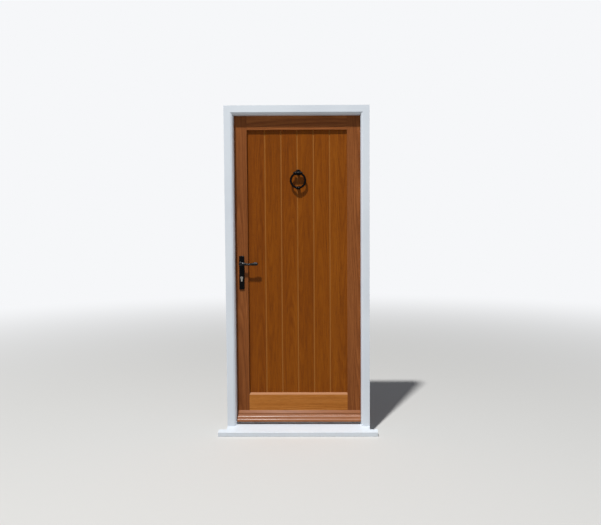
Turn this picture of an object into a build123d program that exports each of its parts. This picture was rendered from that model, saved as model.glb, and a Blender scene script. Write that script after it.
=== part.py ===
from build123d import *
import os
from math import cos, radians, sin

# A boarded timber front door in its painted frame. Millimetres, Z up, X to the right as seen from
# outside. Y = 0 is the outer face of the frame and +Y runs into the house, Z = 0 is the underside
# of the sill, X = 0 is the middle of the frame. The door opens inwards, on hinges at +X.

# Door leaf
leaf_width = 838.0
leaf_height = 2020.0
leaf_thickness = 44.0
lock_stile_width = 91.0
hinge_stile_width = 98.0
top_rail_width = 99.0
bottom_rail_width = 196.0
bottom_rail_weathering = 11.0
bottom_rail_corner = 10.0
tenon_thickness = 14.0
tenon_length = 40.0
tenon_shoulder = 11.0
mortise_end_gap = 1.0
top_tenon_width = 68.0
bottom_tenon_width = 60.0
bottom_tenon_z = (17.0, 107.0)
leaf_rebate_depth = 13.0
leaf_rebate_height = 12.0

# Tongued and grooved boards with a V at every joint
board_count = 6
board_width = 105.5
board_thickness = 18.0
board_setback = 16.0
v_joint = 4.0
tongue_thickness = 6.0
tongue_length = 8.0
tongue_side_gap = 0.1
tongue_end_gap = 0.5

# Weatherboard on the bottom rail
weatherboard_height = 69.0
weatherboard_lock_gap = 4.0
weatherboard_hinge_gap = 2.0
weatherboard_drip = 4.0
# Each reed as three points of an arc: how far out from the leaf and how far below the top
weatherboard_reeds = (
    ((0.0, 0.0), (8.5, 4.5), (12.0, 13.0)),
    ((7.5, 16.0), (9.0, 24.0), (14.0, 31.0)),
    ((14.0, 31.0), (22.5, 36.0), (25.0, 45.0)),
    ((23.5, 48.0), (31.5, 51.5), (36.0, 59.0)),
)

# Frame
frame_depth = 95.0
frame_face = 57.0
rebate_width = 13.0
edge_gap = 3.0
stop_gap = 3.0
moulding_radius = 12.0
moulding_quirk = 2.0
frame_tenon_length = 25.0
frame_tenon_thickness = 20.0
frame_tenon_width = 25.0
frame_tenon_inset = 11.0
frame_tenon_setback = 70.0
fixing_hole_radius = 5.0
fixing_head_radius = 11.0
fixing_head_depth = 10.0
fixing_y = 72.0
fixing_count = 4
fixing_foot_inset = 150.0
fixing_head_inset = 125.0

# Sill and threshold
sill_height = 53.0
sill_nose_height = 28.0
sill_projection = 62.0
sill_horn = 50.0
sill_horn_depth = 31.0
sill_flat = 75.0
sill_arris = 3.0
throat_width = 6.0
throat_depth = 5.0
throat_setback = 10.0
bottom_gap = 5.0
threshold_base = 2.5
threshold_upstand = 13.0
threshold_wall = 3.0
threshold_width = 38.0
threshold_end_gap = 0.5
threshold_setback = 1.0
threshold_screw_count = 5
threshold_screw_inset = 60.0
threshold_screw_edge = 11.0
threshold_seal_height = 7.0
threshold_seal_drop = 1.0
threshold_seal_radius = 2.5
seal_clearance = 0.3

# Weather seal in the frame
seal_groove_width = 3.0
seal_groove_depth = 7.0
seal_stem_gap = 0.1
seal_width = 9.0
seal_round = 1.2

# Butt hinges
hinge_height = 100.0
hinge_plate = 2.5
hinge_plate_width = 30.0
knuckle_radius = 6.0
knuckle_count = 5
knuckle_gap = 0.2
pin_radius = 3.0
pin_head_radius = 4.5
pin_head_height = 2.0
pin_head_edge = 0.8
pin_stand_off = 6.5
hinge_foot_inset = 275.0
hinge_top_inset = 200.0
hinge_screw_rows = ((-6.0, -36.0), (5.0, 0.0), (-6.0, 36.0))
hinge_wing_lap = 2.0
running_clearance = 0.05

# Multipoint lock. Heights are above the foot of the leaf.
backset = 50.0
spindle_height = 1054.0
lock_centres = 92.0
faceplate_width = 20.0
faceplate_thickness = 3.0
faceplate_foot_inset = 272.0
faceplate_screw_inset = 12.0
case_screw_gap = 40.0
faceplate_top_inset = 258.0
drive_bar_width = 16.0
drive_bar_thickness = 2.5
drive_bar_gap = 0.3
drive_bar_overrun = 60.0
bar_hole_radius = 3.2
bolt_throw = 20.0
latch_throw = 12.0
case_thickness = 16.0
case_wall = 2.0
rivet_inset = 5.5
rivet_below_spindle = 28.0
rivet_radius = 2.5
case_depth = 67.0
case_above_spindle = 38.0
case_below_cylinder = 52.0
lock_fit = 0.3
follower_radius = 12.0
follower_journal = 8.0
follower_arm = 20.0
follower_arm_width = 8.0
spindle_size = 8.0
spindle_end_gap = 1.0
latch_height = 20.0
latch_above_spindle = 23.0
latch_length = 24.0
latch_nose = 2.0
latch_tail_height = 6.0
latch_tail_stop = 4.0
tail_thickness = 6.0
deadbolt_height = 36.0
deadbolt_above_cylinder = 30.0
deadbolt_length = 25.0
deadbolt_edge = 1.0
deadbolt_tail = (-6.0, 14.0)
deadbolt_tail_stop = 11.0
bolt_side_gap = 0.3
hook_foot_inset = 392.0
hook_top_inset = 378.0
hook_case_depth = 30.0
hook_case_tail = 20.0
hook_case_reach = 45.0
hook_setback = 14.0
hook_hub_radius = 7.0
hook_pin_radius = 3.0
hook_reach = 28.0
hook_arm_half = 5.0
hook_claw = 7.5
hook_claw_reach = 10.0
hook_corner = 2.0
hook_slot_gap = 3.0

# Euro profile cylinder
cylinder_radius = 8.5
cylinder_drop = 24.5
cylinder_lobe_width = 10.0
cylinder_projection = 2.0
plug_radius = 6.5
keyway_width = 2.4
keyway_height = 9.0
keyway_depth = 20.0
cam_thickness = 9.6
cam_slot = 10.0
cam_reach = 15.5
cam_nose_width = 6.0
cam_rest_angle = 30.0
cylinder_screw_drop = 20.0

# Lever handles on long plates
plate_width = 33.0
plate_height = 220.0
plate_thickness = 8.0
plate_above_spindle = 51.0
plate_corner = 5.0
plate_edge = 2.5
plate_screw_inset = 7.0
post_radius = 4.5
post_length = 15.0
lever_boss_radius = 13.0
lever_neck_radius = 9.0
lever_stand_off = 33.0
lever_length = 111.0
lever_boss_depth = 24.0
lever_boss_lead = 6.0
lever_boss_round = 3.0
# Each station: how far along, half its height, half its depth, how far it sags
lever_stations = (
    (0.0, 10.0, 6.0, 0.0), (0.12, 10.4, 6.2, 0.3), (0.25, 9.0, 6.3, 1.4), (0.38, 7.2, 6.2, 3.0),
    (0.5, 6.9, 6.3, 3.4), (0.63, 8.3, 6.8, 2.2), (0.76, 9.8, 7.4, 0.9), (0.88, 10.5, 7.4, 0.2),
    (0.96, 9.3, 5.6, 0.0), (1.0, 5.2, 2.4, 0.0),
)

# Ring knocker
knocker_x = 4.0
ring_radius = 54.0
ring_section = 7.0
ring_below_top = 426.5
ring_stand_off = 26.0
ring_pin_radius = 4.5
ring_shoulder_radius = 8.5
ring_shoulder_length = 7.0
ring_knob_radius = 9.0
ring_knob_length = 28.0
barrel_radius = 12.0
barrel_length = 46.0
knocker_neck_radius = 9.0
rose_radius = 18.0
rose_lift = 8.0
rose_thickness = 5.0
striker_radius = 11.0

# Keeps
keep_thickness = 2.5
keep_width = 24.0
keep_margin = 16.0
keep_clearance = 1.0
pocket_clearance = 5.0
keep_screw_inset = 6.0
keep_lip = 4.0

# Screws: head radius, shank radius, head height, length
wood_screw = (4.0, 2.0, 2.2, 26.0)
machine_screw = (3.6, 2.1, 2.2, 46.0)
cylinder_bolt = (3.6, 2.5, 2.2, 58.0)
knocker_bolt = (6.0, 3.0, 3.0, 28.0)
screw_fit = 0.1
screw_rim = 0.3

# Places worked out from the sizes above
leaf_y0 = frame_depth - leaf_thickness
leaf_y1 = frame_depth
leaf_z0 = sill_height + bottom_gap
leaf_z1 = leaf_z0 + leaf_height
leaf_x = leaf_width / 2
lock_stile_x = -leaf_x + lock_stile_width
hinge_stile_x = leaf_x - hinge_stile_width
top_rail_z = leaf_z1 - top_rail_width
bottom_rail_z = leaf_z0 + bottom_rail_width
board_y0 = leaf_y0 + board_setback
board_y1 = board_y0 + board_thickness
board_y = (board_y0 + board_y1) / 2
leaf_mid_y = (leaf_y0 + leaf_y1) / 2

rebate_x = leaf_x + edge_gap
sight_x = rebate_x - rebate_width
sight_z = leaf_z1 + edge_gap - rebate_width
outer_x = sight_x + frame_face
head_z1 = sight_z + frame_face
stop_y = leaf_y0 - stop_gap
mitre_reach = moulding_radius + moulding_quirk

spindle_x = -leaf_x + backset
spindle_z = leaf_z0 + spindle_height
cylinder_z = spindle_z - lock_centres
faceplate_x = -leaf_x + faceplate_thickness
case_x = faceplate_x + drive_bar_thickness + 2 * drive_bar_gap
case_z0 = cylinder_z - case_below_cylinder
case_z1 = spindle_z + case_above_spindle
latch_z = spindle_z + latch_above_spindle
deadbolt_z = cylinder_z + deadbolt_above_cylinder
bolt_half = case_thickness / 2 - case_wall - bolt_side_gap
hook_x = -leaf_x + hook_setback
hook_z = (leaf_z0 + hook_foot_inset, leaf_z1 - hook_top_inset)
plate_z1 = spindle_z + plate_above_spindle
plate_z0 = plate_z1 - plate_height
screw_z = (plate_z0 + plate_screw_inset, plate_z1 - plate_screw_inset)
ring_y = board_y0 - ring_stand_off
ring_z = leaf_z1 - ring_below_top
pivot_z = ring_z + ring_radius - ring_section
knob_z = ring_z - ring_radius + ring_section
pin_x = (leaf_x + rebate_x) / 2
pin_y = frame_depth + pin_stand_off


def block(x0, x1, y0, y1, z0, z1):
    """A box between two corners."""
    return Pos((x0 + x1) / 2, (y0 + y1) / 2, (z0 + z1) / 2) * Box(x1 - x0, y1 - y0, z1 - z0)


def rod(start, direction, radius, length):
    """A cylinder from a point, along a direction."""
    return extrude(Plane(start, z_dir=direction) * Circle(radius), length)


def upright(outline, z0, z1):
    """A plan outline in X and Y, raised from z0 to z1."""
    return extrude(Plane.XY.offset(z0) * make_face(outline), z1 - z0)


def lengthways(outline, x0, x1):
    """A section in Y and Z, run from x0 to x1."""
    return extrude(Plane.YZ.offset(x0) * make_face(outline), x1 - x0)


def through(outline, y0, y1):
    """An elevation in X and Z, run from y0 to y1."""
    facing_out = Plane((0, y1, 0), x_dir=(1, 0, 0), z_dir=(0, -1, 0))
    return extrude(facing_out * make_face(outline), y1 - y0)


def screw(size, at, direction, fit=0.0):
    """A countersunk screw with its head flush at a point. With a fit it is the hole for one."""
    head, shank, head_height, length = size
    mouth, neck = -10 * fit, shank + fit
    points = [(0, mouth), (head + fit, mouth), (head + fit, screw_rim), (neck, head_height + fit)]
    points += [(neck, length - shank), (fit, length + fit), (0, length + fit)]
    profile = Polyline(*[p for i, p in enumerate(points) if p != points[i - 1]], close=True)
    return Plane(at, z_dir=direction) * revolve(Plane.XZ * make_face(profile), Axis.Z)


def screws(size, places, direction, fit=0.0):
    """Several screws, or the holes for them."""
    return [screw(size, at, direction, fit) for at in places]


def frame_section(plane, length):
    """The moulded and rebated frame section. Local x is away from the opening, local y is inwards."""
    r, q = moulding_radius, moulding_quirk
    middle = (q + r - r * cos(radians(45)), q + r - r * sin(radians(45)))
    outline = (
        Polyline((rebate_width, stop_y), (0, stop_y), (0, q + r), (q, q + r))
        + ThreePointArc((q, q + r), middle, (q + r, q))
        + Polyline(
            (q + r, q), (q + r, 0), (frame_face, 0), (frame_face, frame_depth),
            (rebate_width, frame_depth), (rebate_width, stop_y),
        )
    )
    groove_x = rebate_width / 2
    groove = Pos(groove_x, stop_y - seal_groove_depth / 2) * Rectangle(seal_groove_width, seal_groove_depth)
    return extrude(plane * make_face(outline), length) - extrude(plane * groove, length)


def seal_section(plane, length):
    """The seal: a stem in the groove and a soft bulb that the closed leaf meets."""
    stem_width = seal_groove_width - 2 * seal_stem_gap
    stem_depth = seal_groove_depth - tongue_end_gap
    bulb_depth = stop_gap - seal_clearance
    stem = plane * Pos(rebate_width / 2, stop_y - stem_depth / 2) * Rectangle(stem_width, stem_depth)
    bulb = plane * Pos(rebate_width / 2, stop_y + bulb_depth / 2) * Rectangle(seal_width, bulb_depth)
    solid = extrude(stem, length) + extrude(bulb, length)
    reach = stop_y + bulb_depth
    corners = solid.edges().filter_by(lambda e: abs(plane.to_local_coords(e.center()).Y - reach) < 0.01)
    return fillet(corners.filter_by(Axis(plane.origin, plane.z_dir)), seal_round)


def head_zone(z1):
    """The room above the joint line of head and jambs: mitred over the moulding, square beyond it."""
    far, below = 2 * outer_x, rebate_width
    outline = Polyline(
        (-far, sight_z + mitre_reach), (-sight_x - mitre_reach, sight_z + mitre_reach),
        (-sight_x + below, sight_z - below), (sight_x - below, sight_z - below),
        (sight_x + mitre_reach, sight_z + mitre_reach), (far, sight_z + mitre_reach),
        (far, z1), (-far, z1), close=True,
    )
    return through(outline, -10, frame_depth + 10)


def mirrored(side):
    """A plane at a jamb's sight line: local x away from the opening, local y inwards."""
    return Plane((side * sight_x, 0, 0), x_dir=(side, 0, 0), z_dir=(0, 0, side))


def run_up(side, z1):
    """How far to extrude on that plane to rise to z1."""
    return side * z1


def frame_tenon(side, z0, z1):
    """A stub tenon near the middle of a jamb's section."""
    far = outer_x - frame_tenon_inset
    x = sorted((side * far, side * (far - frame_tenon_width)))
    y = frame_tenon_setback
    return block(x[0], x[1], y - frame_tenon_thickness / 2, y + frame_tenon_thickness / 2, z0, z1)


def make_sill():
    """Hardwood sill with a weathered top, a throat under the nose, and horns cut round the wall."""
    nose, flat = -sill_projection, frame_depth - sill_flat
    outline = Polyline(
        (nose, 0), (nose, sill_nose_height), (flat, sill_height), (frame_depth, sill_height),
        (frame_depth, 0), close=True,
    )
    half = outer_x + sill_horn
    sill = lengthways(outline, -half, half)
    nose_edges = sill.edges().filter_by(Axis.X).filter_by(lambda e: e.center().Y < nose + 0.1)
    sill = fillet(nose_edges, sill_arris)
    y0 = nose + throat_setback
    sill -= block(-half - 1, half + 1, y0, y0 + throat_width, -1, throat_depth)
    for side in (-1, 1):
        x0, x1 = sorted((side * outer_x, side * (half + 1)))
        sill -= block(x0, x1, nose + sill_horn_depth, frame_depth + 1, -1, sill_height + 1)
        sill -= frame_tenon(side, sill_height - frame_tenon_length, sill_height)
    for hole in threshold_screws(screw_fit):
        sill -= hole
    return sill


def fixing_places():
    """Heights of the fixing holes, evenly spaced up each jamb."""
    pitch = (head_z1 - fixing_head_inset - fixing_foot_inset) / (fixing_count - 1)
    return [fixing_foot_inset + i * pitch for i in range(fixing_count)]


def make_jamb(side, sill):
    """One jamb: scribed to the sill, mitred to the head over the moulding, tenoned into both."""
    top = head_z1 + 10
    jamb = frame_section(mirrored(side), run_up(side, top))
    jamb -= head_zone(top + 1)
    jamb -= block(-2 * outer_x, 2 * outer_x, -sill_projection - 1, frame_depth + 1, -1, sill_nose_height)
    jamb -= sill
    joint_z = sight_z + mitre_reach
    jamb += frame_tenon(side, joint_z, joint_z + frame_tenon_length)
    jamb += frame_tenon(side, sill_height - frame_tenon_length, sill_height + 1)
    for z in fixing_places():
        mouth = (side * leaf_x, fixing_y, z)
        jamb -= rod(mouth, (side, 0, 0), fixing_hole_radius, frame_face)
        jamb -= rod(mouth, (side, 0, 0), fixing_head_radius, edge_gap + fixing_head_depth)
    return jamb


def make_head():
    """The frame head, between the mitres and over the jambs' tenons."""
    plane = Plane((outer_x, 0, sight_z), x_dir=(0, 0, 1), z_dir=(-1, 0, 0))
    head = frame_section(plane, 2 * outer_x) & head_zone(head_z1 + 1)
    joint_z = sight_z + mitre_reach
    for side in (-1, 1):
        head -= frame_tenon(side, joint_z, joint_z + frame_tenon_length)
    return head


def make_seals():
    """Three lengths of seal: up both jambs and along the head, mitred at the corners."""
    top = head_z1 + 10
    plane = Plane((outer_x, 0, sight_z), x_dir=(0, 0, 1), z_dir=(-1, 0, 0))
    across = seal_section(plane, 2 * outer_x) & head_zone(top + 1)
    half = sight_x + rebate_width / 2 + seal_width / 2
    across &= block(-half, half, 0, frame_depth, 0, top)
    found = {"seal_head": across}
    for side, name in ((-1, "seal_lock_jamb"), (1, "seal_hinge_jamb")):
        seal = seal_section(mirrored(side), run_up(side, top)) - head_zone(top + 1)
        found[name] = seal - block(-2 * outer_x, 2 * outer_x, 0, frame_depth, -1, sill_height + 1)
    return found


def threshold_screws(fit=0.0):
    """Five screws down through the threshold's foot."""
    y = leaf_y0 + threshold_setback + threshold_width - threshold_screw_edge
    far = rebate_x - threshold_screw_inset
    pitch = 2 * far / (threshold_screw_count - 1)
    places = [(-far + i * pitch, y, sill_height + threshold_base) for i in range(threshold_screw_count)]
    return screws(wood_screw, places, (0, 0, -1), fit)


def make_threshold():
    """Aluminium threshold bar: a flat foot and an upstand behind the weatherboard."""
    y0, z0 = leaf_y0 + threshold_setback, sill_height
    outline = Polyline(
        (y0, z0), (y0, z0 + threshold_upstand), (y0 + threshold_wall, z0 + threshold_upstand),
        (y0 + threshold_wall, z0 + threshold_base), (y0 + threshold_width, z0 + threshold_base),
        (y0 + threshold_width, z0), close=True,
    )
    half = rebate_x - threshold_end_gap
    bar = lengthways(outline, -half, half)
    for hole in threshold_screws(screw_fit):
        bar -= hole
    return bar


def make_threshold_seal():
    """A rubber strip on the upstand, that the leaf's rebate closes on."""
    y0 = leaf_y0 + threshold_setback + threshold_wall
    y1 = leaf_y0 + leaf_rebate_depth - seal_clearance
    z1 = sill_height + threshold_upstand - threshold_seal_drop
    half = rebate_x - threshold_end_gap
    strip = block(-half, half, y0, y1, z1 - threshold_seal_height, z1)
    lip = strip.edges().filter_by(Axis.X).filter_by(lambda e: e.center().Y > y1 - 0.1)
    return fillet(lip, threshold_seal_radius)


def make_stile(side):
    """A stile with mortises for the rails, a groove for the boards and the rebate at its foot."""
    x0, x1 = (-leaf_x, lock_stile_x) if side < 0 else (hinge_stile_x, leaf_x)
    stile = block(x0, x1, leaf_y0, leaf_y1, leaf_z0, leaf_z1)
    inner = x1 if side < 0 else x0
    deep = inner + side * (tongue_length + tongue_end_gap)
    half = tongue_thickness / 2 + tongue_side_gap
    reach = tongue_length + tongue_end_gap
    stile -= block(min(inner, deep), max(inner, deep), board_y - half, board_y + half,
                   bottom_rail_z - reach, top_rail_z + reach)
    for z0, z1 in tenon_heights():
        deep = inner + side * (tenon_length + mortise_end_gap)
        stile -= block(min(inner, deep), max(inner, deep), leaf_mid_y - tenon_thickness / 2,
                       leaf_mid_y + tenon_thickness / 2, z0, z1)
    return stile - foot_rebate()


def tenon_heights():
    """The lower and upper faces of the rails' tenons, two on the bottom rail and one on the top."""
    lower = [(leaf_z0 + z, leaf_z0 + z + bottom_tenon_width) for z in bottom_tenon_z]
    top = top_rail_z + tenon_shoulder
    return lower + [(top, top + top_tenon_width)]


def foot_rebate():
    """The rebate along the leaf's foot that drops over the threshold."""
    return block(-leaf_x - 1, leaf_x + 1, leaf_y0 - 1, leaf_y0 + leaf_rebate_depth,
                 leaf_z0 - 1, leaf_z0 + leaf_rebate_height)


def rail_with_tenons(z0, z1, tenons):
    """A rail between the stiles with its tenons."""
    rail = block(lock_stile_x, hinge_stile_x, leaf_y0, leaf_y1, z0, z1)
    for t0, t1 in tenons:
        rail += block(lock_stile_x - tenon_length, hinge_stile_x + tenon_length,
                      leaf_mid_y - tenon_thickness / 2, leaf_mid_y + tenon_thickness / 2, t0, t1)
    return rail


def board_end_groove(z0, z1):
    """The groove in a rail that takes the boards' ends."""
    half = tongue_thickness / 2 + tongue_side_gap
    return block(lock_stile_x, hinge_stile_x, board_y - half, board_y + half, z0, z1)


def make_top_rail():
    """The top rail."""
    rail = rail_with_tenons(top_rail_z, leaf_z1, tenon_heights()[2:])
    return rail - board_end_groove(top_rail_z - 1, top_rail_z + tongue_length + tongue_end_gap)


def make_bottom_rail():
    """The deep bottom rail: its top edge is weathered back to the boards and its corners are rounded."""
    rail = rail_with_tenons(leaf_z0, bottom_rail_z, tenon_heights()[:2])
    rail -= foot_rebate()
    rail -= board_end_groove(bottom_rail_z - tongue_length - tongue_end_gap, bottom_rail_z + 1)
    foot = bottom_rail_z - bottom_rail_weathering
    slope = Polyline((leaf_y0 - 1, foot - 1), (leaf_y0, foot), (board_y0, bottom_rail_z),
                     (leaf_y0 - 1, bottom_rail_z + 1), close=True)
    rail -= lengthways(slope, lock_stile_x, hinge_stile_x)
    r, z = bottom_rail_corner, bottom_rail_z - bottom_rail_corner
    for x, side in ((lock_stile_x, 1), (hinge_stile_x, -1)):
        corner = block(min(x, x + side * r), max(x, x + side * r), leaf_y0, board_y0, z, bottom_rail_z)
        rail -= corner - rod((x + side * r, leaf_y0, z), (0, 1, 0), r, board_setback)
    return rail


def board_edges():
    """Where the boards meet, from the lock stile to the hinge stile: the outer two are the wide ones."""
    field = hinge_stile_x - lock_stile_x
    first = lock_stile_x + (field - (board_count - 2) * board_width) / 2
    inner = [first + i * board_width for i in range(board_count - 1)]
    return [lock_stile_x] + inner + [hinge_stile_x]


def make_board(index):
    """One board, tongued at its left edge and both ends and grooved at its right edge."""
    edges = board_edges()
    x0, x1 = edges[index], edges[index + 1]
    v0 = v_joint if index else 0.0
    last = index == board_count - 1
    v1 = 0.0 if last else v_joint
    t, g = tongue_thickness / 2, tongue_thickness / 2 + tongue_side_gap
    left = [
        (x0 + v0, board_y1), (x0, board_y1 - v0), (x0, board_y + t), (x0 - tongue_length, board_y + t),
        (x0 - tongue_length, board_y - t), (x0, board_y - t), (x0, board_y0 + v0), (x0 + v0, board_y0),
    ]
    reach, half = (tongue_length, t) if last else (-tongue_length - tongue_end_gap, g)
    right = [
        (x1 - v1, board_y0), (x1, board_y0 + v1), (x1, board_y - half), (x1 + reach, board_y - half),
        (x1 + reach, board_y + half), (x1, board_y + half), (x1, board_y1 - v1), (x1 - v1, board_y1),
    ]
    points = [p for i, p in enumerate(left + right) if i == 0 or p != (left + right)[i - 1]]
    board = upright(Polyline(*points, close=True), bottom_rail_z, top_rail_z)
    for z0, z1 in ((bottom_rail_z - tongue_length, bottom_rail_z), (top_rail_z, top_rail_z + tongue_length)):
        board += block(x0, x1, board_y - t, board_y + t, z0, z1)
    return board


def make_weatherboard():
    """The reeded weatherboard: three beads down a slope, a square nose and a drip groove under it."""
    z0 = leaf_z0 + leaf_rebate_height
    z1, w = z0 + weatherboard_height, weatherboard_drip
    reeds = [[(leaf_y0 - out, z1 - down) for out, down in reed] for reed in weatherboard_reeds]
    outline = ThreePointArc(*reeds[0])
    for above, reed in zip(reeds, reeds[1:]):
        if above[-1] != reed[0]:
            outline += Line(above[-1], reed[0])
        outline += ThreePointArc(*reed)
    nose = reeds[-1][-1][0]
    outline += Polyline(
        reeds[-1][-1], (nose, z0 + w), (nose + w, z0), (nose + 2 * w, z0), (nose + 2 * w, z0 + w),
        (nose + 3 * w, z0 + w), (nose + 3 * w, z0), (leaf_y0, z0), (leaf_y0, z1),
    )
    return lengthways(outline, -sight_x + weatherboard_lock_gap, sight_x - weatherboard_hinge_gap)


def hinge_centres():
    """Heights of the middles of the hinges."""
    lowest, highest = leaf_z0 + hinge_foot_inset, leaf_z1 - hinge_top_inset
    return [lowest, (lowest + highest) / 2, highest]


def hinge_recess(side, z):
    """A hinge plate's place, let in flush: side +1 into the jamb and -1 into the leaf's edge."""
    face = rebate_x if side > 0 else leaf_x
    x0, x1 = sorted((face, face + side * hinge_plate))
    y1 = frame_depth
    return block(x0, x1, y1 - hinge_plate_width, y1, z - hinge_height / 2, z + hinge_height / 2)


def hinge_screw_places(side, z):
    """Three screws to a plate, the middle one nearer the knuckle."""
    face = rebate_x if side > 0 else leaf_x
    y = frame_depth - hinge_plate_width / 2
    return [(face, y + dy, z + dz) for dy, dz in hinge_screw_rows]


def make_hinge_leaf(side, z):
    """A hinge plate with its share of the knuckles. The frame's plate has three and the leaf's has two."""
    plate = hinge_recess(side, z)
    clear = knuckle_radius + 2 * knuckle_gap
    plate -= rod((pin_x, pin_y, z - hinge_height), (0, 0, 1), clear, 2 * hinge_height)
    pitch = hinge_height / knuckle_count
    x0, x1 = sorted((pin_x, (rebate_x if side > 0 else leaf_x) + side * hinge_plate))
    for i in range(knuckle_count):
        if (i % 2 == 0) == (side > 0):
            z0 = z - hinge_height / 2 + i * pitch + knuckle_gap / 2
            z1 = z0 + pitch - knuckle_gap
            plate += rod((pin_x, pin_y, z0), (0, 0, 1), knuckle_radius, z1 - z0)
            wing = rebate_x if side > 0 else leaf_x
            w0, w1 = sorted((wing, wing + side * hinge_plate))
            plate += block(w0, w1, frame_depth - hinge_wing_lap, pin_y, z0, z1)
    bore = pin_radius + running_clearance
    plate -= rod((pin_x, pin_y, z - hinge_height), (0, 0, 1), bore, 2 * hinge_height)
    for hole in screws(wood_screw, hinge_screw_places(side, z), (side, 0, 0), screw_fit):
        plate -= hole
    return plate


def make_hinge_pin(z):
    """A hinge pin with a button at each end."""
    half = hinge_height / 2
    pin = rod((pin_x, pin_y, z - half), (0, 0, 1), pin_radius, hinge_height)
    for end, way in ((-half, -1), (half, 1)):
        button = rod((pin_x, pin_y, z + end), (0, 0, way), pin_head_radius, pin_head_height)
        pin += chamfer(button.edges().sort_by(Axis.Z)[-1 if way > 0 else 0], pin_head_edge)
    return pin


def euro_profile(fit, y0, y1):
    """The cylinder's outline: a round head over a narrower rounded lobe."""
    r, half = cylinder_radius + fit, cylinder_lobe_width / 2 + fit
    low = cylinder_z - cylinder_drop - fit + half
    shape = rod((spindle_x, y0, cylinder_z), (0, 1, 0), r, y1 - y0)
    shape += block(spindle_x - half, spindle_x + half, y0, y1, low, cylinder_z)
    return shape + rod((spindle_x, y0, low), (0, 1, 0), half, y1 - y0)


def cylinder_ends():
    """The outer and inner ends of the cylinder, just proud of both plates."""
    reach = leaf_thickness / 2 + plate_thickness + cylinder_projection
    return leaf_mid_y - reach, leaf_mid_y + reach


def cylinder_screw_place():
    """The head of the screw that holds the cylinder, in the faceplate."""
    return (-leaf_x, leaf_mid_y, cylinder_z - cylinder_screw_drop)


def make_cylinder_body():
    """The cylinder's body: two halves joined by the bridge under the cam."""
    y0, y1 = cylinder_ends()
    body = euro_profile(0.0, y0, y1)
    body -= rod((spindle_x, y0 - 1, cylinder_z), (0, 1, 0), plug_radius + running_clearance, y1 - y0 + 2)
    reach = cam_reach + lock_fit
    body -= rod((spindle_x, leaf_mid_y - cam_slot / 2, cylinder_z), (0, 1, 0), reach, cam_slot)
    return body - screw(cylinder_bolt, cylinder_screw_place(), (1, 0, 0), screw_fit)


def make_plug(side):
    """One plug with its keyway, from the cam to just inside the cylinder's face."""
    y0, y1 = cylinder_ends()
    near, far = leaf_mid_y + side * cam_slot / 2, (y1 if side > 0 else y0)
    plug = rod((spindle_x, min(near, far), cylinder_z), (0, 1, 0), plug_radius, abs(far - near))
    slot = (far - keyway_depth, far + 1) if side > 0 else (far - 1, far + keyway_depth)
    return plug - block(spindle_x - keyway_width / 2, spindle_x + keyway_width / 2, slot[0], slot[1],
                        cylinder_z - keyway_height / 2, cylinder_z + keyway_height / 2)


def make_cam():
    """The cam between the plugs, with the nose that throws the bolts."""
    y = leaf_mid_y - cam_thickness / 2
    cam = rod((spindle_x, y, cylinder_z), (0, 1, 0), cylinder_radius, cam_thickness)
    nose = block(-cam_nose_width / 2, cam_nose_width / 2, y, y + cam_thickness, -cam_reach, 0)
    disc = rod((0, y, 0), (0, 1, 0), cam_reach, cam_thickness)
    return cam + Pos(spindle_x, 0, cylinder_z) * Rot(0, -cam_rest_angle, 0) * (nose & disc)


def case_box(grow, depth, z0, z1):
    """A lock case's outside, or with grow the pocket for it."""
    half = case_thickness / 2 + grow
    return block(case_x, case_x + depth + grow, leaf_mid_y - half, leaf_mid_y + half, z0 - grow, z1 + grow)


def case_rivets():
    """Heights of the two rivets of each case: the lower hook's, the centre one's, the upper hook's."""
    lower, upper = hook_case_span(0), hook_case_span(1)
    return [
        (lower[0] + rivet_inset, lower[1] - rivet_inset),
        (case_z0 + rivet_inset, spindle_z - rivet_below_spindle),
        (upper[0] + rivet_inset, upper[1] - rivet_inset),
    ]


def make_case(depth, z0, z1, rivets):
    """A pressed steel case, open towards the faceplate, with two rivets that reach it."""
    case = case_box(0, depth, z0, z1)
    half = case_thickness / 2 - case_wall
    case -= block(case_x - 1, case_x + depth - case_wall, leaf_mid_y - half, leaf_mid_y + half,
                  z0 + case_wall, z1 - case_wall)
    length = case_x + depth - case_wall / 2 - faceplate_x
    for z in rivets:
        case += rod((faceplate_x, leaf_mid_y, z), (1, 0, 0), rivet_radius, length)
    return case


def make_lock_case():
    """The centre case with holes for the follower and the cylinder."""
    case = make_case(case_depth, case_z0, case_z1, case_rivets()[1])
    y0, length = leaf_mid_y - case_thickness, 2 * case_thickness
    case -= rod((spindle_x, y0, spindle_z), (0, 1, 0), follower_journal + running_clearance, length)
    return case - euro_profile(lock_fit, y0, y0 + length)


def make_follower():
    """The follower that the spindle turns, with the arm that draws the latch."""
    half, inner = case_thickness / 2, bolt_half
    body = rod((spindle_x, leaf_mid_y - half, spindle_z), (0, 1, 0), follower_journal, 2 * half)
    body += rod((spindle_x, leaf_mid_y - inner, spindle_z), (0, 1, 0), follower_radius, 2 * inner)
    w = follower_arm_width / 2
    body += block(spindle_x - w, spindle_x + w, leaf_mid_y - inner, leaf_mid_y + inner,
                  spindle_z, spindle_z + follower_arm)
    s = spindle_size / 2 + running_clearance
    return body - block(spindle_x - s, spindle_x + s, leaf_y0, leaf_y1, spindle_z - s, spindle_z + s)


def make_latch():
    """The latch bolt, held back level with the faceplate. Its bevel faces the way the door closes."""
    x0, x1 = -leaf_x, -leaf_x + latch_length
    y0, y1 = leaf_mid_y - bolt_half, leaf_mid_y + bolt_half
    bevel = ((x0 + latch_throw, y0), (x0, y1 - latch_nose))
    outline = Polyline((x0, y1), (x1, y1), (x1, y0), *bevel, close=True)
    latch = upright(outline, latch_z - latch_height / 2, latch_z + latch_height / 2)
    z = latch_z + latch_height / 2
    h = tail_thickness / 2
    return latch + block(x1, spindle_x - latch_tail_stop, leaf_mid_y - h, leaf_mid_y + h,
                         z - latch_tail_height, z)


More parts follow.
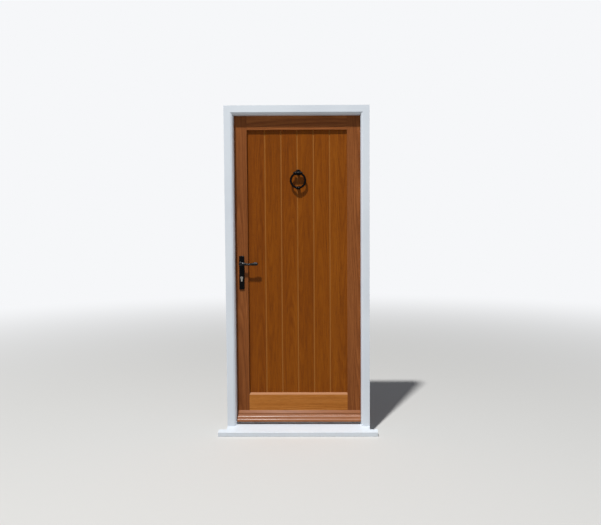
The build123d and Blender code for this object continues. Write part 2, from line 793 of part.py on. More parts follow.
def make_deadbolt():
    """The deadbolt and its tail, drawn back level with the faceplate."""
    x0, x1, h = -leaf_x, -leaf_x + deadbolt_length, deadbolt_height / 2
    bolt = block(x0, x1, leaf_mid_y - bolt_half, leaf_mid_y + bolt_half, deadbolt_z - h, deadbolt_z + h)
    bolt = chamfer(bolt.faces().sort_by(Axis.X)[0].edges(), deadbolt_edge)
    h, (low, high) = tail_thickness / 2, deadbolt_tail
    return bolt + block(x1, spindle_x - deadbolt_tail_stop, leaf_mid_y - h, leaf_mid_y + h,
                        deadbolt_z + low, deadbolt_z + high)


def hook_case_span(index):
    """The lower and upper ends of a hook case. The two hooks are mirror images, up and down."""
    way = 1 if index else -1
    ends = (hook_z[index] - way * hook_case_tail, hook_z[index] + way * hook_case_reach)
    return min(ends), max(ends)


def make_hook_case(index):
    """A hook's case and the pin that the hook turns on."""
    case = make_case(hook_case_depth, *hook_case_span(index), case_rivets()[2 * index])
    half = case_thickness / 2
    return case + rod((hook_x, leaf_mid_y - half, hook_z[index]), (0, 1, 0), hook_pin_radius, 2 * half)


def make_hook(index):
    """A hook bolt swung back inside its case: a hub, an arm and a claw that bites behind the keep."""
    way = 1 if index else -1
    y0, y1 = leaf_mid_y - bolt_half, leaf_mid_y + bolt_half
    x, z = hook_x, hook_z[index]
    arm = block(x - hook_arm_half, x + hook_arm_half, y0, y1, *sorted((z, z + way * hook_reach)))
    tip = sorted((z + way * (hook_reach - hook_claw), z + way * hook_reach))
    claw = block(x - hook_claw_reach, x, y0, y1, *tip)
    hook = arm + claw + rod((x, y0, z), (0, 1, 0), hook_hub_radius, y1 - y0)
    corners = hook.edges().filter_by(Axis.Y).filter_by(lambda e: abs(e.center().Z - z) > hook_reach - 0.1)
    hook = fillet(corners, hook_corner)
    return hook - rod((x, y0 - 1, z), (0, 1, 0), hook_pin_radius + running_clearance, y1 - y0 + 2)


def hook_slot(index):
    """The lower and upper ends of the slot that a hook swings through."""
    way = 1 if index else -1
    near, far = hook_arm_half + keep_clearance, hook_reach + hook_slot_gap
    ends = (hook_z[index] - way * near, hook_z[index] + way * far)
    return min(ends), max(ends)


def bolt_openings():
    """The lower and upper ends of every opening in the faceplate, from the lower hook to the upper."""
    g = keep_clearance
    return [
        hook_slot(0),
        (deadbolt_z - deadbolt_height / 2 - g, deadbolt_z + deadbolt_height / 2 + g),
        (latch_z - latch_height / 2 - g, latch_z + latch_height / 2 + g),
        hook_slot(1),
    ]


def faceplate_ends():
    """The faceplate's lower and upper ends."""
    return leaf_z0 + faceplate_foot_inset, leaf_z1 - faceplate_top_inset


def faceplate_screw_heights():
    """Six screws: one near each end and four between the cases."""
    z0, z1 = faceplate_ends()
    below, above = hook_case_span(0)[1], hook_case_span(1)[0]
    return [
        z0 + faceplate_screw_inset, (below + case_z0) / 2, case_z0 - case_screw_gap,
        case_z1 + case_screw_gap, (case_z1 + above) / 2, z1 - faceplate_screw_inset,
    ]


def faceplate_screws(fit=0.0):
    """The screws through the faceplate into the stile."""
    return screws(wood_screw, [(-leaf_x, leaf_mid_y, z) for z in faceplate_screw_heights()], (1, 0, 0), fit)


def make_faceplate():
    """The long steel faceplate in the leaf's edge."""
    z0, z1 = faceplate_ends()
    half = faceplate_width / 2
    plate = block(-leaf_x, faceplate_x, leaf_mid_y - half, leaf_mid_y + half, z0, z1)
    plate = fillet(plate.edges().filter_by(Axis.X), half - 0.5)
    slot = bolt_half + bolt_side_gap
    for low, high in bolt_openings():
        plate -= block(-leaf_x - 1, faceplate_x + 1, leaf_mid_y - slot, leaf_mid_y + slot, low, high)
    for hole in faceplate_screws(screw_fit):
        plate -= hole
    return plate - screw(cylinder_bolt, cylinder_screw_place(), (1, 0, 0), screw_fit)


def drive_bar_ends():
    """The drive bar's lower and upper ends."""
    return hook_z[0] - drive_bar_overrun, hook_z[1] + drive_bar_overrun


def make_drive_bar():
    """The drive bar behind the faceplate, slotted for its own travel past all that crosses it."""
    z0, z1 = drive_bar_ends()
    x0, half = faceplate_x + drive_bar_gap, drive_bar_width / 2
    bar = block(x0, x0 + drive_bar_thickness, leaf_mid_y - half, leaf_mid_y + half, z0, z1)
    slot = bolt_half + bolt_side_gap
    crossings = [(low, high, slot) for low, high in bolt_openings()]
    rounds = [z for pair in case_rivets() for z in pair] + faceplate_screw_heights()[1:-1]
    rounds.append(cylinder_screw_place()[2])
    crossings += [(z - bar_hole_radius, z + bar_hole_radius, bar_hole_radius) for z in rounds]
    for low, high, w in crossings:
        foot = low - bolt_throw - keep_clearance
        bar -= block(faceplate_x, case_x, leaf_mid_y - w, leaf_mid_y + w, foot, high)
    return bar


def cut_for_lock(stile):
    """The lock stile's housing, pockets and holes for the lock, cylinder and handles."""
    z0, z1 = faceplate_ends()
    half = faceplate_width / 2
    housing = block(-leaf_x - 1, faceplate_x, leaf_mid_y - half, leaf_mid_y + half, z0, z1)
    stile -= fillet(housing.edges().filter_by(Axis.X), half - 0.5)
    b0, b1 = drive_bar_ends()
    half = drive_bar_width / 2 + drive_bar_gap
    stile -= block(faceplate_x, case_x, leaf_mid_y - half, leaf_mid_y + half,
                   b0 - drive_bar_gap, b1 + bolt_throw + keep_clearance)
    stile -= case_box(lock_fit, case_depth, case_z0, case_z1)
    for i in (0, 1):
        stile -= case_box(lock_fit, hook_case_depth, *hook_case_span(i))
    stile -= rod((spindle_x, leaf_y0 - 1, spindle_z), (0, 1, 0), lever_neck_radius + 1, leaf_thickness + 2)
    stile -= euro_profile(lock_fit, leaf_y0 - 1, leaf_y1 + 1)
    for z in screw_z:
        stile -= rod((spindle_x, leaf_y0 - 1, z), (0, 1, 0), post_radius + lock_fit, leaf_thickness + 2)
    for hole in faceplate_screws(screw_fit):
        stile -= hole
    return stile


def plate_body(y0, y1, front):
    """A long handle plate with eased front edges. front is the y of its show face."""
    x0, x1 = spindle_x - plate_width / 2, spindle_x + plate_width / 2
    plate = block(x0, x1, y0, y1, plate_z0, plate_z1)
    plate = fillet(plate.edges().filter_by(Axis.Y), plate_corner)
    face = plate.faces().sort_by(lambda f: abs(f.center().Y - front))[0]
    plate = fillet(face.edges(), plate_edge)
    plate -= rod((spindle_x, y0 - 1, spindle_z), (0, 1, 0), lever_neck_radius + 2 * running_clearance,
                 plate_thickness + 2)
    return plate - euro_profile(lock_fit, y0 - 1, y1 + 1)


def backplate_screws(fit=0.0):
    """Two screws from the inner plate into the outer plate's posts."""
    y = leaf_y1 + plate_thickness
    return screws(machine_screw, [(spindle_x, y, z) for z in screw_z], (0, -1, 0), fit)


def make_outer_plate():
    """The outer plate, with two posts that run into the leaf."""
    y0 = leaf_y0 - plate_thickness
    plate = plate_body(y0, leaf_y0, y0)
    for z in screw_z:
        plate += rod((spindle_x, leaf_y0 - 1, z), (0, 1, 0), post_radius, post_length + 1)
    for hole in backplate_screws(screw_fit):
        plate -= hole
    return plate


def make_inner_plate():
    """The inner plate, countersunk for the two screws."""
    y1 = leaf_y1 + plate_thickness
    plate = plate_body(leaf_y1, y1, y1)
    for hole in backplate_screws(screw_fit):
        plate -= hole
    return plate


def make_lever():
    """The outer lever: a boss and neck on the spindle, and an arm that narrows and then flares."""
    y = leaf_y0 - plate_thickness - lever_stand_off
    boss_y = y - lever_boss_lead
    lever = rod((spindle_x, boss_y, spindle_z), (0, 1, 0), lever_boss_radius, lever_boss_depth)
    lever = fillet(lever.edges(), lever_boss_round)
    lever += rod((spindle_x, boss_y + lever_boss_depth - 1, spindle_z), (0, 1, 0), lever_neck_radius,
                 leaf_y0 - boss_y - lever_boss_depth + 1)
    sections = [
        Plane((spindle_x + share * lever_length, y, spindle_z - sag), x_dir=(0, 1, 0), z_dir=(1, 0, 0))
        * Ellipse(half_y, half_z)
        for share, half_z, half_y, sag in lever_stations
    ]
    lever += loft(sections)
    s = spindle_size / 2 + running_clearance
    return lever - block(spindle_x - s, spindle_x + s, y, leaf_y0 + 1, spindle_z - s, spindle_z + s)


def make_spindle():
    """The square spindle between the two levers."""
    s, reach = spindle_size / 2, leaf_thickness / 2 + plate_thickness + lever_stand_off - spindle_end_gap
    return block(spindle_x - s, spindle_x + s, leaf_mid_y - reach, leaf_mid_y + reach,
                 spindle_z - s, spindle_z + s)


def knocker_bolts(fit=0.0):
    """Two bolts from inside, into the knocker's mount and its striker."""
    places = [(knocker_x, board_y1, pivot_z), (knocker_x, board_y1, knob_z)]
    return screws(knocker_bolt, places, (0, -1, 0), fit)


def make_knocker_mount():
    """The knocker's round rose, standing a little high behind the barrel, with its neck."""
    rose = rod((knocker_x, board_y0 - rose_thickness, pivot_z + rose_lift), (0, 1, 0), rose_radius,
               rose_thickness)
    rose = fillet(rose.edges().sort_by(Axis.Y)[0], 3.0)
    mount = rose + rod((knocker_x, ring_y, pivot_z), (0, 1, 0), knocker_neck_radius, board_y0 - ring_y - 1)
    barrel = rod((knocker_x - barrel_length / 2, ring_y, pivot_z), (1, 0, 0), barrel_radius, barrel_length)
    mount += fillet(barrel.edges().filter_by(GeomType.CIRCLE), 1.5)
    mount -= rod((knocker_x - barrel_length, ring_y, pivot_z), (1, 0, 0), ring_pin_radius + running_clearance,
                 2 * barrel_length)
    for hole in knocker_bolts(screw_fit):
        mount -= hole
    return mount


def make_ring():
    """The ring: round bar, a straight pin at the top that turns in the barrel, a knob at the bottom."""
    major = ring_radius - ring_section
    ring = Plane((knocker_x, ring_y, ring_z), x_dir=(1, 0, 0), z_dir=(0, -1, 0)) * Torus(major, ring_section)
    half = barrel_length / 2 + lock_fit
    ring -= block(knocker_x - half, knocker_x + half, ring_y - 20, ring_y + 20, ring_z, pivot_z + 20)
    ring += rod((knocker_x - half, ring_y, pivot_z), (1, 0, 0), ring_pin_radius, 2 * half)
    for side in (-1, 1):
        start = (knocker_x + side * half, ring_y, pivot_z)
        shoulder = rod(start, (side, 0, 0), ring_shoulder_radius, ring_shoulder_length)
        ring += fillet(shoulder.edges().filter_by(GeomType.CIRCLE), 1.5)
    start = (knocker_x - ring_knob_length / 2, ring_y, knob_z)
    knob = rod(start, (1, 0, 0), ring_knob_radius, ring_knob_length)
    return ring + fillet(knob.edges().filter_by(GeomType.CIRCLE), 3.0)


def make_striker():
    """The stud that the ring strikes."""
    length = ring_stand_off - ring_knob_radius - lock_fit
    stud = rod((knocker_x, board_y0, knob_z), (0, -1, 0), striker_radius, length)
    stud = fillet(stud.edges().sort_by(Axis.Y)[0], 3.0)
    for hole in knocker_bolts(screw_fit):
        stud -= hole
    return stud


def keep_spans():
    """Each keep's lower and upper ends and the openings in it."""
    lower, dead, latch, upper = bolt_openings()
    m = keep_margin
    return {
        "keep_lower_hook": (lower[0] - m, lower[1] + m, [lower]),
        "keep_centre": (dead[0] - m, latch[1] + m, [dead, latch]),
        "keep_upper_hook": (upper[0] - m, upper[1] + m, [upper]),
    }


def keep_screws(fit=0.0):
    """Two screws to each keep."""
    places = []
    for low, high, _ in keep_spans().values():
        places += [(-rebate_x, leaf_mid_y, z) for z in (low + keep_screw_inset, high - keep_screw_inset)]
    return screws(wood_screw, places, (-1, 0, 0), fit)


def keep_blank(low, high, openings):
    """A keep's outline, let in flush with the rebate. The centre keep has a lip that the latch rides on."""
    half = keep_width / 2
    x0, x1 = -rebate_x - keep_thickness, -rebate_x
    blank = block(x0, x1, leaf_mid_y - half, leaf_mid_y + half, low, high)
    if len(openings) > 1:
        l0, l1 = openings[-1]
        blank += block(x0, x1, leaf_mid_y, frame_depth, l0 - keep_lip, l1 + keep_lip)
    return blank


def make_keep(name):
    """A steel keep with an opening for each bolt."""
    low, high, openings = keep_spans()[name]
    keep = keep_blank(low, high, openings)
    slot = bolt_half + keep_clearance
    for z0, z1 in openings:
        keep -= block(-outer_x, -leaf_x, leaf_mid_y - slot, leaf_mid_y + slot, z0, z1)
    for hole in keep_screws(screw_fit):
        keep -= hole
    return keep


def cut_for_keeps(jamb):
    """The lock jamb's recesses for the keeps, and the pockets that the bolts shoot into."""
    hook_throw = hook_reach - hook_setback
    reach = {"keep_centre": bolt_throw, "keep_lower_hook": hook_throw, "keep_upper_hook": hook_throw}
    slot = bolt_half + keep_clearance
    for name, (low, high, openings) in keep_spans().items():
        jamb -= keep_blank(low, high, openings)
        x0 = -leaf_x - reach[name] - pocket_clearance
        for z0, z1 in openings:
            jamb -= block(x0, -rebate_x, leaf_mid_y - slot, leaf_mid_y + slot,
                          z0 - pocket_clearance, z1 + pocket_clearance)
    for hole in keep_screws(screw_fit):
        jamb -= hole
    return jamb


def build():
    """Every piece by name."""
    parts = {"sill": make_sill(), "frame_head": make_head(), **make_seals()}
    parts["jamb_lock"] = cut_for_keeps(make_jamb(-1, parts["sill"]))
    parts["jamb_hinge"] = make_jamb(1, parts["sill"])
    parts["threshold"] = make_threshold()
    parts["threshold_seal"] = make_threshold_seal()
    parts["threshold_screws"] = threshold_screws()

    parts["lock_stile"] = cut_for_lock(make_stile(-1))
    parts["hinge_stile"] = make_stile(1)
    parts["top_rail"] = make_top_rail()
    parts["bottom_rail"] = make_bottom_rail()
    for i in range(board_count):
        parts[f"board_{i + 1}"] = make_board(i)
    parts["weatherboard"] = make_weatherboard()

    frame_places, leaf_places = [], []
    for i, z in enumerate(hinge_centres()):
        parts[f"hinge_{i + 1}_frame_leaf"] = make_hinge_leaf(1, z)
        parts[f"hinge_{i + 1}_door_leaf"] = make_hinge_leaf(-1, z)
        parts["jamb_hinge"] -= hinge_recess(1, z)
        parts["hinge_stile"] -= hinge_recess(-1, z)
        frame_places += hinge_screw_places(1, z)
        leaf_places += hinge_screw_places(-1, z)
    parts["hinge_pins"] = [make_hinge_pin(z) for z in hinge_centres()]
    parts["hinge_frame_screws"] = screws(wood_screw, frame_places, (1, 0, 0))
    parts["hinge_door_screws"] = screws(wood_screw, leaf_places, (-1, 0, 0))
    for hole in screws(wood_screw, frame_places, (1, 0, 0), screw_fit):
        parts["jamb_hinge"] -= hole
    for hole in screws(wood_screw, leaf_places, (-1, 0, 0), screw_fit):
        parts["hinge_stile"] -= hole

    parts["lock_case"] = make_lock_case()
    parts["faceplate"] = make_faceplate()
    parts["faceplate_screws"] = faceplate_screws()
    parts["drive_bar"] = make_drive_bar()
    parts["follower"] = make_follower()
    parts["latch"] = make_latch()
    parts["deadbolt"] = make_deadbolt()
    for i, name in enumerate(("lower", "upper")):
        parts[f"hook_case_{name}"] = make_hook_case(i)
        parts[f"hook_bolt_{name}"] = make_hook(i)
    parts["cylinder_body"] = make_cylinder_body()
    parts["cylinder_plug_outer"] = make_plug(-1)
    parts["cylinder_plug_inner"] = make_plug(1)
    parts["cylinder_cam"] = make_cam()
    parts["cylinder_screw"] = screw(cylinder_bolt, cylinder_screw_place(), (1, 0, 0))

    parts["backplate_outer"] = make_outer_plate()
    parts["backplate_inner"] = make_inner_plate()
    parts["backplate_screws"] = backplate_screws()
    parts["lever_outer"] = make_lever()
    parts["lever_inner"] = mirror(make_lever(), Plane((0, leaf_mid_y, 0), z_dir=(0, 1, 0)))
    parts["spindle"] = make_spindle()

    parts["knocker_mount"] = make_knocker_mount()
    parts["knocker_striker"] = make_striker()
    parts["knocker_ring"] = make_ring()
    parts["knocker_bolts"] = knocker_bolts()
    for hole in knocker_bolts(screw_fit):
        for i in range(board_count):
            parts[f"board_{i + 1}"] -= hole
    for name in keep_spans():
        parts[name] = make_keep(name)
    parts["keep_screws"] = keep_screws()
    return parts


os.makedirs("parts", exist_ok=True)
for name, shape in build().items():
    solids = shape if isinstance(shape, list) else [shape]
    found = [solid for item in solids for solid in item.solids()]
    export_step(Compound(found) if len(found) > 1 else found[0], f"parts/{name}.step")
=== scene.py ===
"""Looks of a boarded oak front door in its white frame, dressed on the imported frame."""

import math

import bmesh
import bpy
from mathutils import Euler, Matrix, Vector


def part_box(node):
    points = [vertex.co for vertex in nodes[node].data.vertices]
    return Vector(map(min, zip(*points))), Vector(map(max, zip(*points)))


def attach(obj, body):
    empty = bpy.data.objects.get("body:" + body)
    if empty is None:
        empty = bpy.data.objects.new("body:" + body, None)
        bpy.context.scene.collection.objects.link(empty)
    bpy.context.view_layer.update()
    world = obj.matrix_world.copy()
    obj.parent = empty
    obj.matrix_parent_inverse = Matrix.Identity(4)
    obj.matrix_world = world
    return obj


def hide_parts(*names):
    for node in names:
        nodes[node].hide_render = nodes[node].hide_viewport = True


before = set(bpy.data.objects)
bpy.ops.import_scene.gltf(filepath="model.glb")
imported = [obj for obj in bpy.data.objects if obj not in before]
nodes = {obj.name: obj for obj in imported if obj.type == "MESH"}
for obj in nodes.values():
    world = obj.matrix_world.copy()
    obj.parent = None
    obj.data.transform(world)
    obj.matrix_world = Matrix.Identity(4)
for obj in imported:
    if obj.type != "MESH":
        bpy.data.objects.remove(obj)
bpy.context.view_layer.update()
scene = bpy.context.scene


# The camera: held at chest height, under four metres from the door and a little to its
# right, square to it and tipped slightly down. The picture is a crop from the left of a
# wider one, so the lens is shifted by that much.
camera_place = Vector((0.304, -3.738, 1.312))
camera_pitch, camera_yaw, camera_roll = (math.radians(a) for a in (-2.929, -0.452, -0.186))
picture_width = 601
focal_pixels = 580.1
middle_offset = 39.5
sensor_width = 36.0
sight_limit = 200.0

ahead = Vector((
    math.sin(camera_yaw) * math.cos(camera_pitch),
    math.cos(camera_yaw) * math.cos(camera_pitch),
    math.sin(camera_pitch),
))
level_right = Vector((math.cos(camera_yaw), -math.sin(camera_yaw), 0.0))
level_up = level_right.cross(ahead)
right = math.cos(camera_roll) * level_right + math.sin(camera_roll) * level_up
up = math.cos(camera_roll) * level_up - math.sin(camera_roll) * level_right
lens = bpy.data.cameras.new("camera")
lens.sensor_width = sensor_width
lens.lens = sensor_width * focal_pixels / picture_width
lens.shift_x = -middle_offset / picture_width
lens.clip_end = sight_limit
camera = bpy.data.objects.new("camera", lens)
scene.collection.objects.link(camera)
camera.matrix_world = Matrix.Translation(camera_place) @ Matrix((right, up, -ahead)).transposed().to_4x4()
scene.camera = camera


# The light: one lamp high on the left in front, as the photographed shadows ask, and a
# plain pale surround that fills the shade. The lamp is far enough off to light the head
# and the sill alike, and small enough for a clear shadow under the handle.
key_travel = Vector((0.345, 1.0, -1.82)).normalized()
key_distance = 18.0
key_size = 0.9
key_power = 3340.0
key_aim = Vector((0.0, 0.05, 1.1))
key_tint = "#fffefb"
fill_tint = "#f2f6ff"
fill_strength = 0.155
surround_white = "#f6f7f9"

scene.view_settings.view_transform = "Standard"


def linear(code):
    """An sRGB hex colour in the linear values that the shaders take."""
    parts = [int(code[i:i + 2], 16) / 255 for i in (1, 3, 5)]
    return [p / 12.92 if p <= 0.04045 else ((p + 0.055) / 1.055) ** 2.4 for p in parts] + [1.0]


def node(tree, kind, values=None, links=None, **settings):
    """Adds one node: its settings, then the values and the links of its sockets."""
    made = tree.nodes.new(kind)
    for name, value in settings.items():
        setattr(made, name, value)
    for socket, value in (values or {}).items():
        made.inputs[socket].default_value = value
    for socket, source in (links or {}).items():
        tree.links.new(source, made.inputs[socket])
    return made


def seen_by(tree, *kinds):
    """1 for the kinds of ray that look at a surface, and 0 for those that carry its light."""
    ray = node(tree, "ShaderNodeLightPath").outputs
    seen = ray[f"Is {kinds[0]} Ray"]
    for kind in kinds[1:]:
        both = node(tree, "ShaderNodeMath", links={0: seen, 1: ray[f"Is {kind} Ray"]}, operation="MAXIMUM")
        seen = both.outputs[0]
    return seen


lamp = bpy.data.lights.new("key", "AREA")
lamp.shape = "DISK"
lamp.size = key_size
lamp.energy = key_power
lamp.color = linear(key_tint)[:3]
key = bpy.data.objects.new("key", lamp)
scene.collection.objects.link(key)
key.matrix_world = (
    Matrix.Translation(key_aim - key_travel * key_distance)
    @ key_travel.to_track_quat("-Z", "Y").to_matrix().to_4x4()
)

world = bpy.data.worlds.new("pale_surround")
scene.world = world
world.use_nodes = True
sky = world.node_tree
sky.nodes.clear()
seen = seen_by(sky, "Camera", "Glossy", "Transmission")
fill = node(sky, "ShaderNodeBackground", {"Color": linear(fill_tint), "Strength": fill_strength})
plain = node(sky, "ShaderNodeBackground", {"Color": linear(surround_white), "Strength": 1.0})
surround = node(sky, "ShaderNodeMixShader", links={0: seen, 1: fill.outputs[0], 2: plain.outputs[0]})
node(sky, "ShaderNodeOutputWorld", links={"Surface": surround.outputs[0]})


# The floor: a plain pale sheet under the sill, matt, that takes the door's shadow and
# fades to the white of the surround away from it. It throws back less light than its own
# colour would, so that the sill's underside and the head stay shaded.
floor_colour = "#dededd"
floor_bounce = "#b4b3b0"
floor_half = 30.0
fade_start, fade_end = 1.6, 9.0


def blank(name):
    """A new material with an empty node tree."""
    made = bpy.data.materials.new(name)
    made.use_nodes = True
    made.node_tree.nodes.clear()
    return made, made.node_tree


sheet = bpy.data.meshes.new("floor")
corners = [(x * floor_half, y * floor_half, 0.0) for x, y in ((-1, -1), (1, -1), (1, 1), (-1, 1))]
sheet.from_pydata(corners, [], [(0, 1, 2, 3)])
floor = bpy.data.objects.new("floor", sheet)
scene.collection.objects.link(floor)

paper, tree = blank("pale_floor")
place = node(tree, "ShaderNodeTexCoord").outputs["Object"]
away = node(tree, "ShaderNodeVectorMath", links={0: place}, operation="LENGTH")
fade = node(
    tree, "ShaderNodeMapRange", {"From Min": fade_start, "From Max": fade_end},
    {"Value": away.outputs["Value"]}, interpolation_type="SMOOTHSTEP",
)
white = node(tree, "ShaderNodeEmission", {"Color": linear(surround_white), "Strength": 1.0})
seen = seen_by(tree, "Camera", "Glossy")
tint = node(
    tree, "ShaderNodeMix", {"A": linear(floor_bounce), "B": linear(floor_colour)}, {"Factor": seen},
    data_type="RGBA",
)
matt = node(tree, "ShaderNodeBsdfDiffuse", links={"Color": tint.outputs["Result"]})
share = node(tree, "ShaderNodeMath", links={0: seen, 1: fade.outputs[0]}, operation="MULTIPLY")
faded = node(
    tree, "ShaderNodeMixShader", links={0: share.outputs[0], 1: matt.outputs[0], 2: white.outputs[0]},
)
node(tree, "ShaderNodeOutputMaterial", links={"Surface": faded.outputs[0]})
sheet.materials.append(paper)


# Frame and sill: planed softwood jambs, head and sill, tenoned together and brushed with a
# white satin paint that follows the moulded arris and the rebate. Brush marks are given in
# millimetres, patches in the film and splashed drops by their number to the metre.
paint_white = "#e3ebf4"
paint_shade = "#dde5ef"
paint_splash = "#cfccc2"
paint_gloss = (0.34, 0.5)
paint_coat = 0.15
brush_mark = 2.2
brush_length = 90.0
brush_depth = 0.0001
film_patches = 3.5
splash_drops = 60.0
splash_strength = 0.12
splash_height = (0.05, 0.22)
upright = (0.0, 0.0, 0.0)
along_x = (0.0, -math.pi / 2, 0.0)


def finish_with(material, *names):
    """Gives CAD nodes their finish."""
    for name in names:
        for place in nodes[name].material_slots:
            place.material = material


def surface(tree, values, links):
    """The material's shader and output."""
    shader = node(tree, "ShaderNodeBsdfPrincipled", values, links)
    node(tree, "ShaderNodeOutputMaterial", links={"Surface": shader.outputs[0]})


def white_satin_paint(title, turn):
    """Satin white paint, brushed along the member: faint marks left by the bristles in its
    gloss and relief, a slightly uneven film, and rain splash just above the sill. The
    marks are drawn coarser than real ones, to show."""
    material, tree = blank("white_satin_paint_" + title)
    place = node(tree, "ShaderNodeTexCoord").outputs["Object"]
    along = node(tree, "ShaderNodeMapping", {"Rotation": turn}, {"Vector": place})
    stretch = (1.0, 1.0, brush_mark / brush_length)
    drawn = node(tree, "ShaderNodeMapping", {"Scale": stretch}, {"Vector": along.outputs[0]})
    bristle = node(
        tree, "ShaderNodeTexNoise", {"Scale": 1000 / brush_mark, "Detail": 3.0, "Roughness": 0.6},
        {"Vector": drawn.outputs[0]},
    )
    film = node(tree, "ShaderNodeTexNoise", {"Scale": film_patches, "Detail": 4.0}, {"Vector": place})
    even = node(tree, "ShaderNodeMapRange", {"From Min": 0.35, "From Max": 0.6}, {"Value": film.outputs[0]})
    tint = node(
        tree, "ShaderNodeMix", {"A": linear(paint_shade), "B": linear(paint_white)},
        {"Factor": even.outputs[0]}, data_type="RGBA",
    )
    height = node(tree, "ShaderNodeSeparateXYZ", links={0: place})
    low = node(
        tree, "ShaderNodeMapRange",
        {"From Min": splash_height[1], "From Max": splash_height[0], "To Max": splash_strength},
        {"Value": height.outputs["Z"]}, interpolation_type="SMOOTHSTEP",
    )
    spatter = node(tree, "ShaderNodeTexNoise", {"Scale": splash_drops, "Detail": 6.0}, {"Vector": place})
    spots = node(
        tree, "ShaderNodeMapRange", {"From Min": 0.45, "From Max": 0.75}, {"Value": spatter.outputs[0]},
    )
    dirt = node(tree, "ShaderNodeMath", links={0: low.outputs[0], 1: spots.outputs[0]}, operation="MULTIPLY")
    colour = node(
        tree, "ShaderNodeMix", {"B": linear(paint_splash)},
        {"Factor": dirt.outputs[0], "A": tint.outputs["Result"]}, data_type="RGBA",
    )
    gloss = node(
        tree, "ShaderNodeMapRange", {"To Min": paint_gloss[0], "To Max": paint_gloss[1]},
        {"Value": bristle.outputs[0]},
    )
    relief = node(
        tree, "ShaderNodeBump", {"Strength": 0.2, "Distance": brush_depth}, {"Height": bristle.outputs[0]},
    )
    surface(
        tree, {"Coat Weight": paint_coat, "Coat Roughness": 0.2},
        {"Base Color": colour.outputs["Result"], "Roughness": gloss.outputs[0], "Normal": relief.outputs[0]},
    )
    return material


finish_with(white_satin_paint("upright", upright), "jamb_lock", "jamb_hinge")
finish_with(white_satin_paint("level", along_x), "frame_head", "sill")


# Draught seals: flexible white extrusion pressed into a saw groove in the rebate, and a
# black rubber strip on the threshold. Both are smooth and slightly sticky, so dust dulls
# them in small patches, counted to the metre.
dust_patches = 140.0
dust_depth = 0.0001


def rubber(title, colour, dusty, gloss):
    """Extruded rubber under an uneven film of dust, which dulls it and blurs its gloss."""
    material, tree = blank(title)
    place = node(tree, "ShaderNodeTexCoord").outputs["Object"]
    dust = node(tree, "ShaderNodeTexNoise", {"Scale": dust_patches, "Detail": 5.0}, {"Vector": place})
    film = node(tree, "ShaderNodeMapRange", {"From Min": 0.4, "From Max": 0.7}, {"Value": dust.outputs[0]})
    tint = node(
        tree, "ShaderNodeMix", {"A": linear(colour), "B": linear(dusty)}, {"Factor": film.outputs[0]},
        data_type="RGBA",
    )
    rough = node(
        tree, "ShaderNodeMapRange", {"To Min": gloss, "To Max": gloss + 0.2}, {"Value": dust.outputs[0]},
    )
    relief = node(
        tree, "ShaderNodeBump", {"Strength": 0.3, "Distance": dust_depth}, {"Height": dust.outputs[0]},
    )
    surface(
        tree, {},
        {"Base Color": tint.outputs["Result"], "Roughness": rough.outputs[0], "Normal": relief.outputs[0]},
    )
    return material


seal_white = rubber("white_flexible_seal", "#e0e2e2", "#c9c8c2", 0.5)
finish_with(seal_white, "seal_head", "seal_lock_jamb", "seal_hinge_jamb")
finish_with(rubber("black_rubber_strip", "#19191a", "#3b3936", 0.55), "threshold_seal")


# Threshold bar: aluminium extrusion, left as it came from the die and screwed to the sill.
# Its sheen is streaked along its length by the die.
line_depth = 0.00006


def drawn_metal(title, colour, worn, gloss, turn, line_share, grain, spots):
    """Metal with fine lines along one direction, from a die, a belt or a wire brush, whose
    gloss changes from line to line, and with duller patches where it was handled. Grain and
    spots are in millimetres, and a line share of 0.02 draws the grain out fifty times. The
    lines are drawn coarser than real ones, to show."""
    material, tree = blank(title)
    place = node(tree, "ShaderNodeTexCoord").outputs["Object"]
    along = node(tree, "ShaderNodeMapping", {"Rotation": turn}, {"Vector": place})
    drawn = node(tree, "ShaderNodeMapping", {"Scale": (1.0, 1.0, line_share)}, {"Vector": along.outputs[0]})
    lines = node(
        tree, "ShaderNodeTexNoise", {"Scale": 1000 / grain, "Detail": 3.0, "Roughness": 0.65},
        {"Vector": drawn.outputs[0]},
    )
    patch = node(tree, "ShaderNodeTexNoise", {"Scale": 1000 / spots, "Detail": 4.0}, {"Vector": place})
    dull = node(tree, "ShaderNodeMapRange", {"From Min": 0.35, "From Max": 0.7}, {"Value": patch.outputs[0]})
    tint = node(
        tree, "ShaderNodeMix", {"A": linear(colour), "B": linear(worn)}, {"Factor": dull.outputs[0]},
        data_type="RGBA",
    )
    mixed = node(tree, "ShaderNodeMath", links={0: lines.outputs[0], 1: dull.outputs[0]}, operation="ADD")
    rough = node(
        tree, "ShaderNodeMapRange", {"From Max": 2.0, "To Min": gloss, "To Max": gloss + 0.25},
        {"Value": mixed.outputs[0]},
    )
    relief = node(
        tree, "ShaderNodeBump", {"Strength": 0.4, "Distance": line_depth}, {"Height": lines.outputs[0]},
    )
    surface(
        tree, {"Metallic": 1.0},
        {"Base Color": tint.outputs["Result"], "Roughness": rough.outputs[0], "Normal": relief.outputs[0]},
    )
    return material


finish_with(drawn_metal("mill_aluminium", "#c4c6c8", "#a9aaab", 0.3, along_x, 0.02, 0.9, 60.0), "threshold")


# Leaf: oak stiles and rails, mortised and tenoned, stained golden brown and coated with a
# satin varnish. The stiles' grain stands upright, the rails' lies level, and the deep
# bottom rail is drawn lighter and yellower, its stain plus a painted sheen off its level
# grain, with a painted highlight along its rounded upper edge.
ring_width = 5.0  # widths, wander and length are in millimetres
ring_wander = 12.0
fibre_width = 3.0
pore_width = 1.1
pore_length = 38.0
pore_depth = 0.0002
bend_count, cloud_count, streak_count = 9.0, 5.0, 45.0  # to the metre
figure_stretch = 0.12
seed_step = 3.0
wave_period = 314  # between the wave texture's crests at a scale of one, in millimetres
pore_brown = "#3d1d08"
varnish_gloss = (0.34, 0.52)
coat_gloss = 0.16


